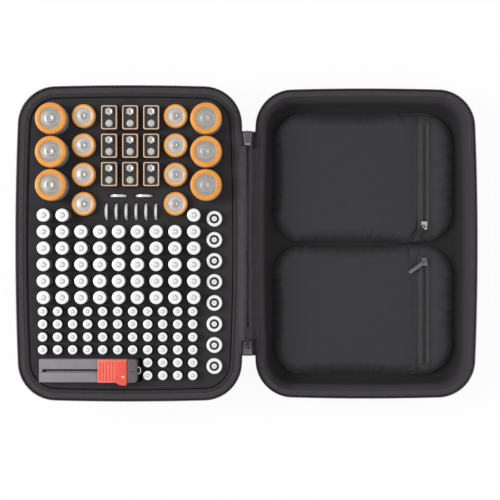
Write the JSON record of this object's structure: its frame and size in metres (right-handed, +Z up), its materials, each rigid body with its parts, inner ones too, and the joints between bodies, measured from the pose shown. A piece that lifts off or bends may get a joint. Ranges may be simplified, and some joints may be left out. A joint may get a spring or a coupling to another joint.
{
  "type": "battery storage case",
  "caption": "Zipped hard case for loose batteries, lying open: foam insert with a socket for each cell and a tester, and a lid with two zipped pockets.",
  "frame": {"origin": "on the surface the open case lies on, midway between its two halves, under the spine", "axes": "+X from the base to the lid, +Y along the spine towards the end with the largest cells, +Z up"},
  "size_m": [0.509, 0.345, 0.0695],
  "materials": {
    "shell_fabric": "ballistic weave laminated on moulded foam",
    "zip_tape": "woven tape",
    "zip_coil": "moulded coil",
    "lining_cloth": "smooth knitted lining",
    "pocket_cloth": "smooth nylon with a slight sheen",
    "foam": "closed-cell foam, matt",
    "can_orange": "steel end with an orange jacket",
    "can_copper": "copper-coloured jacket with steel snaps",
    "can_silver": "steel end with a pale jacket",
    "can_white": "steel end with a white jacket",
    "steel": "bright steel",
    "slider_metal": "dark lacquered metal",
    "pull_black": "black rubbery pull",
    "tester_grey": "fine moulded grain",
    "tester_dark": "fine moulded grain",
    "tester_red": "satin",
    "contact_brass": "polished"
  },
  "bodies": {
    "base": {"base_shell": "shell_fabric", "base_zip": "zip_tape", "foam_insert": "foam", "foam_pad": "foam", "d_cells": "can_orange", "c_cells": "can_orange", "block_cells": "can_copper", "aa_cells": "can_silver", "aaa_cells": "can_silver", "photo_cells": "can_white", "coin_cells": "steel", "spine_cloth": "lining_cloth", "upper_zip_slider": "slider_metal", "lower_zip_slider": "slider_metal"},
    "lid": {"lid_shell": "shell_fabric", "lid_zip": "zip_tape", "upper_pocket_panel": "pocket_cloth", "lower_pocket_panel": "pocket_cloth", "upper_pocket_zip_tape": "zip_tape", "lower_pocket_zip_tape": "zip_tape", "upper_pocket_coil": "zip_coil", "lower_pocket_coil": "zip_coil"},
    "tester": {"tester_body": "tester_grey", "tester_end_block": "tester_dark", "tester_end_contact": "steel"},
    "tester_arm": {"tester_arm": "tester_red", "tester_arm_contact": "contact_brass"},
    "upper_pocket_slider": {"upper_pocket_slider": "slider_metal"},
    "upper_pocket_pull": {"upper_pocket_pull": "pull_black"},
    "lower_pocket_slider": {"lower_pocket_slider": "slider_metal"},
    "lower_pocket_pull": {"lower_pocket_pull": "pull_black"},
    "upper_zip_pull": {"upper_zip_pull": "pull_black"},
    "lower_zip_pull": {"lower_zip_pull": "pull_black"},
    "loose_d_cell": {"loose_d_cell": "can_orange"},
    "loose_c_cell": {"loose_c_cell": "can_orange"},
    "loose_block_cell": {"loose_block_cell": "can_copper"},
    "loose_aa_cell": {"loose_aa_cell": "can_silver"},
    "loose_aaa_cell": {"loose_aaa_cell": "can_silver"},
    "loose_photo_cell": {"loose_photo_cell": "can_white"},
    "loose_coin_cell": {"loose_coin_cell": "steel"}
  },
  "joints": [
    {"name": "lid_hinge", "type": "hinge", "parent": "base", "child": "lid", "pos_m": [0, 0, 0.04375], "axis": [0, 1, 0], "range_deg": [-180, 0], "deforming": ["spine_cloth"]},
    {"name": "tester_lift", "type": "slide", "parent": "base", "child": "tester", "axis": [0, 0, 1], "range_m": [0, 0.06]},
    {"name": "tester_arm_slide", "type": "slide", "parent": "tester", "child": "tester_arm", "axis": [-1, 0, 0], "range_m": [0, 0.055]},
    {"name": "upper_pocket_zip_slide", "type": "slide", "parent": "lid", "child": "upper_pocket_slider", "axis": [0, 1, 0], "range_m": [0, 0.1093]},
    {"name": "upper_pocket_pull_hinge", "type": "hinge", "parent": "upper_pocket_slider", "child": "upper_pocket_pull", "pos_m": [0.19799, 0.0205, 0.0181], "axis": [-0.8572, 0.515, 0], "range_deg": [0, 170]},
    {"name": "lower_pocket_zip_slide", "type": "slide", "parent": "lid", "child": "lower_pocket_slider", "axis": [0, -1, 0], "range_m": [0, 0.1093]},
    {"name": "lower_pocket_pull_hinge", "type": "hinge", "parent": "lower_pocket_slider", "child": "lower_pocket_pull", "pos_m": [0.19799, -0.0205, 0.0181], "axis": [-0.5878, 0.809, 0], "range_deg": [0, 170]},
    {"name": "upper_zip_pull_hinge", "type": "hinge", "parent": "base", "child": "upper_zip_pull", "pos_m": [-0.0015, 0.12185, 0.0522], "axis": [1, 0, 0], "range_deg": [0, 180]},
    {"name": "lower_zip_pull_hinge", "type": "hinge", "parent": "base", "child": "lower_zip_pull", "pos_m": [-0.0015, -0.114, 0.05485], "axis": [1, 0, 0], "range_deg": [0, 178]},
    {"name": "d_cell_lift", "type": "slide", "parent": "base", "child": "loose_d_cell", "axis": [0, 0, 1], "range_m": [0, 0.065]},
    {"name": "c_cell_lift", "type": "slide", "parent": "base", "child": "loose_c_cell", "axis": [0, 0, 1], "range_m": [0, 0.055]},
    {"name": "block_cell_lift", "type": "slide", "parent": "base", "child": "loose_block_cell", "axis": [0, 0, 1], "range_m": [0, 0.055]},
    {"name": "aa_cell_lift", "type": "slide", "parent": "base", "child": "loose_aa_cell", "axis": [0, 0, 1], "range_m": [0, 0.055]},
    {"name": "aaa_cell_lift", "type": "slide", "parent": "base", "child": "loose_aaa_cell", "axis": [0, 0, 1], "range_m": [0, 0.05]},
    {"name": "photo_cell_lift", "type": "slide", "parent": "base", "child": "loose_photo_cell", "axis": [0, 0, 1], "range_m": [0, 0.04]},
    {"name": "coin_cell_lift", "type": "slide", "parent": "base", "child": "loose_coin_cell", "axis": [0, 0, 1], "range_m": [0, 0.025]}
  ]
}
